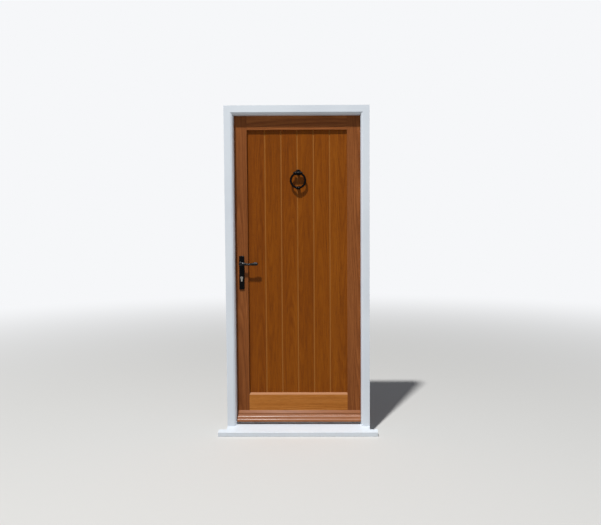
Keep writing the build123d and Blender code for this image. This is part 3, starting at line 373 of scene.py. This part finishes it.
def stained_oak(
    title, centre, turn, pith, stain, deep, pale, seed,
    figure=1.0, sheen=0.12, coat=0.0, arris=None, grain_relief=0.4,
):
    """Oak under stain and satin varnish. Growth rings round a pith that lies outside the
    piece give the arched figure, fine fibres and open pores run along it, and the stain has
    taken unevenly. Rings and pores are drawn at about twice their real width, to show. An
    arris names the axis that a bevel faces and the paler colour drawn on faces turned that
    way; on the bottom rail's rounded upper edge this is a painted highlight."""
    material, tree = blank("stained_oak_" + title)
    place = node(tree, "ShaderNodeTexCoord").outputs["Object"]
    facing = Euler(turn).to_matrix()
    shift = Vector((*pith, seed_step * seed)) - facing @ Vector(centre)
    grain = node(
        tree, "ShaderNodeMapping", {"Location": shift, "Rotation": turn}, {"Vector": place},
    ).outputs[0]
    slow = node(
        tree, "ShaderNodeMapping", {"Scale": (1.0, 1.0, figure_stretch)}, {"Vector": grain},
    ).outputs[0]
    fast = node(
        tree, "ShaderNodeMapping", {"Scale": (1.0, 1.0, pore_width / pore_length)}, {"Vector": grain},
    ).outputs[0]

    bend = node(tree, "ShaderNodeTexNoise", {"Scale": bend_count, "Detail": 2.0}, {"Vector": slow})
    swing = node(
        tree, "ShaderNodeVectorMath", {1: (0.5, 0.5, 0.5)}, {0: bend.outputs["Color"]}, operation="SUBTRACT",
    )
    reach = node(
        tree, "ShaderNodeVectorMath", {"Scale": ring_wander / 1000 * 2}, {0: swing.outputs[0]},
        operation="SCALE",
    )
    bent = node(tree, "ShaderNodeVectorMath", links={0: slow, 1: reach.outputs[0]}, operation="ADD")
    rings = node(
        tree, "ShaderNodeTexWave",
        {"Scale": wave_period / ring_width, "Distortion": 0.8, "Detail": 2.0, "Detail Scale": 1.6},
        {"Vector": bent.outputs[0]}, wave_type="RINGS", rings_direction="Z", wave_profile="SAW",
    )
    early = node(tree, "ShaderNodeValToRGB", links={"Fac": rings.outputs["Fac"]})
    early.color_ramp.elements[0].color = (0.0, 0.0, 0.0, 1.0)
    early.color_ramp.elements[1].position = 0.72
    early.color_ramp.elements[1].color = (1.0, 1.0, 1.0, 1.0)
    late = early.color_ramp.elements.new(1.0)
    late.color = (0.25, 0.25, 0.25, 1.0)

    fibre = node(
        tree, "ShaderNodeTexNoise", {"Scale": 1000 / fibre_width, "Detail": 5.0, "Roughness": 0.62},
        {"Vector": fast},
    )
    cloud = node(tree, "ShaderNodeTexNoise", {"Scale": cloud_count, "Detail": 3.0}, {"Vector": slow})
    streak = node(tree, "ShaderNodeTexNoise", {"Scale": streak_count, "Detail": 3.0}, {"Vector": fast})
    pore = node(tree, "ShaderNodeTexNoise", {"Scale": 1000 / pore_width, "Detail": 1.0}, {"Vector": fast})

    tone = node(
        tree, "ShaderNodeMath", {1: 0.26 * figure, 2: 0.5 - 0.13 * figure}, {0: early.outputs[0]},
        operation="MULTIPLY_ADD",
    )
    for source, weight in ((fibre, 0.7), (cloud, 0.55), (streak, 0.5)):
        level = node(
            tree, "ShaderNodeMath", {1: weight, 2: -weight / 2}, {0: source.outputs[0]},
            operation="MULTIPLY_ADD",
        )
        tone = node(tree, "ShaderNodeMath", links={0: tone.outputs[0], 1: level.outputs[0]}, operation="ADD")
    colour = node(tree, "ShaderNodeValToRGB", links={"Fac": tone.outputs[0]})
    colour.color_ramp.elements[0].position = 0.15
    colour.color_ramp.elements[0].color = linear(deep)
    colour.color_ramp.elements[1].position = 0.85
    colour.color_ramp.elements[1].color = linear(pale)
    middle = colour.color_ramp.elements.new(0.5)
    middle.color = linear(stain)

    open_pore = node(
        tree, "ShaderNodeMapRange", {"From Min": 0.58, "From Max": 0.7}, {"Value": pore.outputs[0]},
    )
    porous = node(
        tree, "ShaderNodeMapRange", {"To Min": 1.0, "To Max": 0.3}, {"Value": early.outputs[0]},
    )
    dark = node(
        tree, "ShaderNodeMath", links={0: open_pore.outputs[0], 1: porous.outputs[0]}, operation="MULTIPLY",
    )
    held = node(tree, "ShaderNodeMath", {1: 0.5}, {0: dark.outputs[0]}, operation="MULTIPLY")
    whole = node(
        tree, "ShaderNodeMix", {"B": linear(pore_brown)},
        {"Factor": held.outputs[0], "A": colour.outputs[0]}, data_type="RGBA",
    )
    # Faces turned along the arris axis are drawn in the paler colour; on the bottom rail this is a painted
    # highlight.
    if arris:
        axis, lit = arris
        normal = node(tree, "ShaderNodeTexCoord").outputs["Normal"]
        side = node(tree, "ShaderNodeSeparateXYZ", links={0: normal})
        tilt = node(tree, "ShaderNodeMath", links={0: side.outputs[axis]}, operation="ABSOLUTE")
        bevel = node(
            tree, "ShaderNodeMapRange", {"From Min": 0.3, "From Max": 0.6}, {"Value": tilt.outputs[0]},
        )
        whole = node(
            tree, "ShaderNodeMix", {"B": linear(lit)},
            {"Factor": bevel.outputs[0], "A": whole.outputs["Result"]}, data_type="RGBA",
        )
    rough = node(
        tree, "ShaderNodeMapRange",
        {"From Min": 0.3, "From Max": 0.7, "To Min": varnish_gloss[0], "To Max": varnish_gloss[1]},
        {"Value": fibre.outputs[0]},
    )
    sunk = node(
        tree, "ShaderNodeMath", {1: -1.0}, {0: dark.outputs[0], 2: fibre.outputs[0]},
        operation="MULTIPLY_ADD",
    )
    relief = node(
        tree, "ShaderNodeBump", {"Strength": grain_relief, "Distance": pore_depth},
        {"Height": sunk.outputs[0]},
    )
    surface(
        tree, {"Specular IOR Level": sheen, "Coat Weight": coat, "Coat Roughness": coat_gloss},
        {"Base Color": whole.outputs["Result"], "Roughness": rough.outputs[0], "Normal": relief.outputs[0]},
    )
    return material


def middle_of(name):
    """The middle of a node's box."""
    low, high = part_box(name)
    return (low + high) / 2


stile_stain = ("#874e26", "#6f3c1a", "#a46536")
top_rail_stain = ("#8b5027", "#6c3a19", "#a26335")
# The bottom rail's colours hold a painted sheen as well as its stain.
bottom_rail_stain_and_sheen = ("#b5702f", "#935419", "#cb8a47")
for name, tilt, pith, seed in (
    ("lock_stile", 0.012, (0.015, -0.09), 1), ("hinge_stile", -0.016, (-0.03, -0.075), 2),
):
    finish_with(stained_oak(name, middle_of(name), (tilt, 0.004, 0.0), pith, *stile_stain, seed), name)
for name, tilt, pith, stain, seed, arris in (
    ("top_rail", 0.02, (0.02, -0.08), top_rail_stain, 3, None),
    # The bottom rail's upward-facing bevel is drawn pale: a painted highlight.
    ("bottom_rail", 0.045, (-0.035, -0.07), bottom_rail_stain_and_sheen, 4, ("Z", "#b98560")),
):
    turn = (tilt, *along_x[1:])
    finish_with(stained_oak(name, middle_of(name), turn, pith, *stain, seed, 1.3, arris=arris), name)


# Boards: six oak boards, tongued together with a V at each joint and let into grooves in
# the stiles and rails. Each was stained before assembly, so each has its own figure and
# tone: where its pith lies, how its grain leans, and its stain with its dark and pale ends.
boards = (
    (-0.03, 0.022, "#814206", "#632d02", "#98550f"),
    (0.022, -0.017, "#854504", "#663002", "#9c580f"),
    (-0.012, 0.026, "#834304", "#642e01", "#99560f"),
    (0.035, -0.02, "#854504", "#662f02", "#9c5910"),
    (0.008, 0.015, "#844404", "#642e01", "#99560f"),
    (-0.026, -0.024, "#874708", "#683103", "#9f5b12"),
)
joint_arris = ("X", "#a86d33")
for index, (offset, lean, *stain) in enumerate(boards):
    name = f"board_{index + 1}"
    pith = (offset, -0.06 - 0.008 * (index % 3))
    turn = (lean, 0.003 * (index - 2.5), 0.0)
    oak = stained_oak(name, middle_of(name), turn, pith, *stain, 5 + index, 0.55, arris=joint_arris)
    finish_with(oak, name)


# Weatherboard: an oak drip moulding, three reeds under a flat wash, screwed over the foot
# of the leaf. Sun and rain have paled its stain, and its varnish is glossier. Its section is
# in millimetres out from the leaf and down from its top, each reed an arc by three points.
weatherboard_stain = ("#93582f", "#7a4420", "#a86f44")
wash = ((0.0, 0.0), (10.2, 16.3))
reeds = (
    ((9.3, 17.2), (9.5, 24.5), (12.5, 31.0)),
    ((12.5, 31.0), (19.5, 36.0), (24.0, 44.5)),
    ((23.6, 46.0), (31.5, 51.5), (36.0, 62.0)),
)
drip = 4.0
end_bevel = 0.0008
sharp_angle = math.radians(35)


def arc(start, through, end, steps=8):
    """Points on the arc through three given ones, ends included."""
    (ax, ay), (bx, by), (cx, cy) = start, through, end
    turn = 2 * (ax * (by - cy) + bx * (cy - ay) + cx * (ay - by))
    squares = [x * x + y * y for x, y in (start, through, end)]
    mx = (squares[0] * (by - cy) + squares[1] * (cy - ay) + squares[2] * (ay - by)) / turn
    my = (squares[0] * (cx - bx) + squares[1] * (ax - cx) + squares[2] * (bx - ax)) / turn
    angles = [math.atan2(y - my, x - mx) for x, y in (start, through, end)]
    for index in (1, 2):
        while angles[index] - angles[index - 1] > math.pi:
            angles[index] -= 2 * math.pi
        while angles[index] - angles[index - 1] < -math.pi:
            angles[index] += 2 * math.pi
    radius = math.hypot(ax - mx, ay - my)
    sweep = [angles[0] + (angles[2] - angles[0]) * step / steps for step in range(1, steps)]
    return [start] + [(mx + radius * math.cos(a), my + radius * math.sin(a)) for a in sweep] + [end]


def reeded_weatherboard():
    """The weatherboard's moulded section, run along its length, with softened ends."""
    low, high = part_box("weatherboard")
    foot = (high.z - low.z) * 1000
    nose = reeds[-1][-1][0]
    outline = list(wash)
    for reed in reeds:
        outline += [point for point in arc(*reed) if point != outline[-1]]
    outline += [
        (nose, foot - drip), (nose - drip, foot), (nose - 2 * drip, foot), (nose - 2 * drip, foot - drip),
        (nose - 3 * drip, foot - drip), (nose - 3 * drip, foot), (0.0, foot),
    ]
    section = [(high.y - out / 1000, high.z - down / 1000) for out, down in outline]
    form = bmesh.new()
    ends = [[form.verts.new((x, y, z)) for y, z in section] for x in (low.x, high.x)]
    for index, corner in enumerate(ends[0]):
        follow = (index + 1) % len(section)
        form.faces.new((corner, ends[1][index], ends[1][follow], ends[0][follow]))
    caps = [form.faces.new(ends[0]), form.faces.new(list(reversed(ends[1])))]
    rims = {edge for cap in caps for edge in cap.edges}
    bmesh.ops.bevel(form, geom=list(rims), offset=end_bevel, segments=2, affect="EDGES", profile=0.5)
    bmesh.ops.triangulate(form, faces=[face for face in form.faces if len(face.verts) > 4])
    bmesh.ops.recalc_face_normals(form, faces=form.faces)
    mesh = bpy.data.meshes.new("weatherboard_reeded")
    form.to_mesh(mesh)
    form.free()
    mesh.shade_smooth()
    mesh.set_sharp_from_angle(angle=sharp_angle)
    return bpy.data.objects.new("weatherboard_reeded", mesh)


weatherboard = reeded_weatherboard()
scene.collection.objects.link(weatherboard)
weatherboard.data.materials.append(stained_oak(
    "weatherboard", middle_of("weatherboard"), (0.03, *along_x[1:]), (0.01, -0.06),
    *weatherboard_stain, seed=12, figure=0.7, sheen=0.4, coat=0.13, grain_relief=0.05,
))
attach(weatherboard, "leaf")
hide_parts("weatherboard")


# Hinges: three stainless butt hinges, belt-ground to a satin face, with pinned knuckles.
satin_steel = drawn_metal("satin_stainless_steel", "#b9bab9", "#a3a3a1", 0.28, upright, 0.03, 0.5, 45.0)
for count in ("1", "2", "3"):
    finish_with(satin_steel, f"hinge_{count}_frame_leaf", f"hinge_{count}_door_leaf")
finish_with(satin_steel, "hinge_pins")


# Lock: a multipoint lock of pressed steel cases behind a stainless faceplate, with a drive
# bar, a sprung latch, a deadbolt and two hooks. Cases and bar are bright zinc plate.
zinc_plate = drawn_metal("bright_zinc_plate", "#b4b8bb", "#8f9294", 0.32, upright, 0.5, 1.4, 9.0)
finish_with(satin_steel, "faceplate", "latch", "deadbolt", "hook_bolt_lower", "hook_bolt_upper")
finish_with(satin_steel, "keep_lower_hook", "keep_centre", "keep_upper_hook")
finish_with(zinc_plate, "lock_case", "hook_case_lower", "hook_case_upper")
finish_with(zinc_plate, "drive_bar", "follower", "spindle")


# Cylinder: a euro profile cylinder in satin nickel over brass, with its plug and keyway
# towards the street. Keys and fingers have dulled it in small patches.
satin_nickel = drawn_metal("satin_nickel_plate", "#9d9b95", "#868278", 0.25, upright, 0.4, 0.4, 6.0)
finish_with(satin_nickel, "cylinder_body", "cylinder_plug_outer", "cylinder_plug_inner", "cylinder_cam")


# Handle and knocker: hand-finished iron, hammered, waxed and lacquered black. The hammer
# leaves shallow dents, the lacquer a soft gloss, and the levers' upper sides carry a grey painted highlight.
hammer_dent = 9.0
dent_depth = 0.0006
forge_scale = 0.8
scale_depth = 0.0001
rubbed_patches = 38.0
iron_gloss = (0.3, 0.16)
iron_black = "#030304"
iron_polished = "#08080a"
# grey of the painted highlight on the levers' upper side
iron_top_highlight = "#5a5a5e"


def black_iron(title, top_highlight_share, sheen):
    """Forged iron under black lacquer: shallow overlapping dents and a fine scale texture
    in its relief, a soft gloss that hands have polished in patches, and, where a share is
    given, a grey painted highlight along the upper side, in those patches."""
    material, tree = blank("black_lacquered_iron_" + title)
    place = node(tree, "ShaderNodeTexCoord").outputs["Object"]
    dents = node(
        tree, "ShaderNodeTexVoronoi", {"Scale": 1000 / hammer_dent, "Smoothness": 0.8}, {"Vector": place},
        feature="SMOOTH_F1",
    )
    scale = node(tree, "ShaderNodeTexNoise", {"Scale": 1000 / forge_scale, "Detail": 4.0}, {"Vector": place})
    rub = node(tree, "ShaderNodeTexNoise", {"Scale": rubbed_patches, "Detail": 4.0}, {"Vector": place})
    polish = node(tree, "ShaderNodeMapRange", {"From Min": 0.4, "From Max": 0.66}, {"Value": rub.outputs[0]})
    tint = node(
        tree, "ShaderNodeMix", {"A": linear(iron_black), "B": linear(iron_polished)},
        {"Factor": polish.outputs[0]}, data_type="RGBA",
    )
    rough = node(
        tree, "ShaderNodeMapRange", {"To Min": iron_gloss[0], "To Max": iron_gloss[1]},
        {"Value": polish.outputs[0]},
    )
    fine = node(
        tree, "ShaderNodeBump", {"Strength": 0.3, "Distance": scale_depth}, {"Height": scale.outputs[0]},
    )
    relief = node(
        tree, "ShaderNodeBump", {"Strength": 0.35, "Distance": dent_depth},
        {"Height": dents.outputs["Distance"], "Normal": fine.outputs[0]},
    )
    normal = node(tree, "ShaderNodeTexCoord").outputs["Normal"]
    facing = node(tree, "ShaderNodeSeparateXYZ", links={0: normal})
    # Painted highlight: faces turned up are drawn grey, in the polished patches, to stand in for the glints
    # they catch.
    upper = node(
        tree, "ShaderNodeMapRange", {"From Min": 0.0, "From Max": 0.5, "To Max": top_highlight_share},
        {"Value": facing.outputs["Z"]}, interpolation_type="SMOOTHSTEP",
    )
    worn = node(
        tree, "ShaderNodeMath", links={0: upper.outputs[0], 1: polish.outputs[0]}, operation="MULTIPLY",
    )
    colour = node(
        tree, "ShaderNodeMix", {"B": linear(iron_top_highlight)},
        {"Factor": worn.outputs[0], "A": tint.outputs["Result"]}, data_type="RGBA",
    )
    surface(
        tree, {"Specular IOR Level": sheen},
        {"Base Color": colour.outputs["Result"], "Roughness": rough.outputs[0], "Normal": relief.outputs[0]},
    )
    return material


iron = black_iron("plain", 0.0, 0.06)
finish_with(iron, "backplate_outer", "backplate_inner", "knocker_mount", "knocker_striker", "knocker_ring")
# The levers carry the grey painted highlight on their upper side.
finish_with(black_iron("handled", 1.0, 0.2), "lever_outer", "lever_inner")


# Screws: countersunk heads with a cross recess, left at whatever angle the driver stopped,
# each row one piece. A size is head radius, shank radius, head height and length, all in
# millimetres, and the recess is given in shares of the head's radius and height.
wood_screw = (4.0, 2.0, 2.2, 26.0)
machine_screw = (3.6, 2.1, 2.2, 46.0)
cylinder_bolt = (3.6, 2.5, 2.2, 58.0)
knocker_bolt = (6.0, 3.0, 3.0, 28.0)
recess_reach, recess_width, recess_depth = 0.8, 0.2, 0.75
head_sides, shank_sides = 40, 24
cutter_lift = 0.00002
weld_distance = 0.00001
driver_seed = 7


def screw_tree():
    """A countersunk screw with a cross recess, repeated at every place it is given."""
    tree = bpy.data.node_groups.new("cross_recess_screws", "GeometryNodeTree")
    sockets = tree.interface
    sockets.new_socket("Places", in_out="INPUT", socket_type="NodeSocketGeometry")
    for name in (
        "Head Radius", "Shank Radius", "Head Height", "Length",
        "Recess Reach", "Recess Width", "Recess Depth",
    ):
        sockets.new_socket(name, in_out="INPUT", socket_type="NodeSocketFloat")
    sockets.new_socket("Finish", in_out="INPUT", socket_type="NodeSocketMaterial")
    sockets.new_socket("Screws", in_out="OUTPUT", socket_type="NodeSocketGeometry")
    given = node(tree, "NodeGroupInput").outputs

    def frustum(top, bottom, depth, foot, sides):
        """A cone frustum whose foot lies a given depth below the head's face."""
        cone = node(
            tree, "GeometryNodeMeshCone", {"Vertices": sides},
            {"Radius Top": top, "Radius Bottom": bottom, "Depth": depth},
        )
        down = node(tree, "ShaderNodeMath", {1: -1.0}, {0: foot}, operation="MULTIPLY")
        shift = node(tree, "ShaderNodeCombineXYZ", links={2: down.outputs[0]})
        moved = node(
            tree, "GeometryNodeTransform", links={0: cone.outputs["Mesh"], "Translation": shift.outputs[0]},
        )
        return moved.outputs[0]

    radius, height, length = given["Shank Radius"], given["Head Height"], given["Length"]
    neck = node(tree, "ShaderNodeMath", {1: 1.06}, {0: radius}, operation="MULTIPLY").outputs[0]
    point = node(tree, "ShaderNodeMath", {1: 0.3}, {0: radius}, operation="MULTIPLY").outputs[0]
    taper = node(tree, "ShaderNodeMath", {1: 2.0}, {0: radius}, operation="MULTIPLY").outputs[0]
    start = node(tree, "ShaderNodeMath", {1: 0.85}, {0: height}, operation="MULTIPLY").outputs[0]
    stop = node(tree, "ShaderNodeMath", links={0: length, 1: taper}, operation="SUBTRACT").outputs[0]
    run = node(tree, "ShaderNodeMath", links={0: stop, 1: start}, operation="SUBTRACT").outputs[0]
    head = frustum(given["Head Radius"], neck, height, height, head_sides)
    shank = frustum(radius, radius, run, stop, shank_sides)
    tip = frustum(radius, point, taper, length, shank_sides)

    reach, width, floor = given["Recess Reach"], given["Recess Width"], given["Recess Depth"]
    web = node(tree, "ShaderNodeMath", {1: 0.45}, {0: reach}, operation="MULTIPLY").outputs[0]
    blade = frustum(reach, web, floor, floor, 4)
    squared = node(tree, "GeometryNodeTransform", {"Rotation": Euler((0.0, 0.0, math.pi / 4))}, {0: blade})
    thin = node(tree, "ShaderNodeMath", links={0: width, 1: reach}, operation="DIVIDE")
    squeeze = node(tree, "ShaderNodeCombineXYZ", {0: 1.0, 2: 1.0}, {1: thin.outputs[0]})
    narrow = node(tree, "GeometryNodeTransform", links={0: squared.outputs[0], "Scale": squeeze.outputs[0]})
    proud = node(
        tree, "GeometryNodeTransform", {"Translation": (0.0, 0.0, cutter_lift)}, {0: narrow.outputs[0]},
    )
    across = node(
        tree, "GeometryNodeTransform", {"Rotation": Euler((0.0, 0.0, math.pi / 2))}, {0: proud.outputs[0]},
    )
    cut = node(
        tree, "GeometryNodeMeshBoolean", links={"Mesh 1": head, "Mesh 2": proud.outputs[0]},
        operation="DIFFERENCE", solver="EXACT",
    )
    tree.links.new(across.outputs[0], cut.inputs["Mesh 2"])
    whole = node(
        tree, "GeometryNodeMeshBoolean", links={"Mesh 2": cut.outputs[0]}, operation="UNION", solver="EXACT",
    )
    tree.links.new(shank, whole.inputs["Mesh 2"])
    tree.links.new(tip, whole.inputs["Mesh 2"])

    outward = node(tree, "GeometryNodeInputNamedAttribute", {"Name": "outward"}, data_type="FLOAT_VECTOR")
    stand = node(
        tree, "FunctionNodeAlignRotationToVector", links={"Vector": outward.outputs[0]}, axis="Z",
    )
    spread = node(
        tree, "GeometryNodeInstanceOnPoints",
        links={"Points": given["Places"], "Instance": whole.outputs[0], "Rotation": stand.outputs[0]},
    )
    driven = node(
        tree, "FunctionNodeRandomValue", {"Max": 0.5 * math.pi, "Seed": driver_seed}, data_type="FLOAT",
    )
    turn = node(tree, "ShaderNodeCombineXYZ", links={2: driven.outputs[1]})
    turned = node(
        tree, "GeometryNodeRotateInstances", links={0: spread.outputs[0], "Rotation": turn.outputs[0]},
    )
    real = node(tree, "GeometryNodeRealizeInstances", links={0: turned.outputs[0]})
    dressed = node(
        tree, "GeometryNodeSetMaterial", links={0: real.outputs[0], "Material": given["Finish"]},
    )
    node(tree, "NodeGroupOutput", links={0: dressed.outputs[0]})
    return tree


cross_recess = screw_tree()


def head_places(name, outward):
    """The middle of each head's face, read from the separate solids of a CAD node. Its
    triangles are welded in a copy first, so that each solid hangs together."""
    form = bmesh.new()
    form.from_mesh(nodes[name].data)
    bmesh.ops.remove_doubles(form, verts=form.verts, dist=weld_distance)
    places = []
    left = set(form.verts)
    while left:
        solid = [left.pop()]
        for vertex in solid:
            near = {edge.other_vert(vertex) for edge in vertex.link_edges} & left
            left -= near
            solid.extend(near)
        low, high = (Vector(pick(v.co[axis] for v in solid) for axis in range(3)) for pick in (min, max))
        places.append(Vector(
            (high if way > 0 else low)[axis] if way else (low[axis] + high[axis]) / 2
            for axis, way in enumerate(outward)
        ))
    form.free()
    return sorted(places, key=lambda place: tuple(place))


def driven_screws(name, size, outward, finish, body):
    """One row of screws as one piece, in place of the CAD node of that name."""
    places = head_places(name, outward)
    points = bpy.data.meshes.new(name)
    points.from_pydata(places, [], [])
    facing = points.attributes.new("outward", "FLOAT_VECTOR", "POINT")
    for item in facing.data:
        item.vector = outward
    piece = bpy.data.objects.new(name + "_driven", points)
    scene.collection.objects.link(piece)
    maker = piece.modifiers.new("screws", "NODES")
    maker.node_group = cross_recess
    head, shank, height, length = (value / 1000 for value in size)
    given = {
        "Head Radius": head, "Shank Radius": shank, "Head Height": height, "Length": length,
        "Recess Reach": recess_reach * head, "Recess Width": recess_width * head,
        "Recess Depth": recess_depth * height, "Finish": finish,
    }
    for socket in cross_recess.interface.items_tree:
        if socket.name in given:
            maker[socket.identifier] = given[socket.name]
    bpy.context.view_layer.update()
    evaluated = piece.evaluated_get(bpy.context.evaluated_depsgraph_get())
    solid = bpy.data.meshes.new_from_object(evaluated)
    piece.modifiers.clear()
    piece.data = solid
    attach(piece, body)
    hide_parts(name)


driven_screws("hinge_frame_screws", wood_screw, (-1, 0, 0), satin_steel, "frame")
driven_screws("hinge_door_screws", wood_screw, (1, 0, 0), satin_steel, "leaf")
driven_screws("faceplate_screws", wood_screw, (-1, 0, 0), satin_steel, "leaf")
driven_screws("keep_screws", wood_screw, (1, 0, 0), satin_steel, "frame")
driven_screws("threshold_screws", wood_screw, (0, 0, 1), satin_steel, "frame")
driven_screws("backplate_screws", machine_screw, (0, 1, 0), iron, "leaf")
driven_screws("cylinder_screw", cylinder_bolt, (-1, 0, 0), zinc_plate, "leaf")
driven_screws("knocker_bolts", knocker_bolt, (0, 1, 0), iron, "leaf")
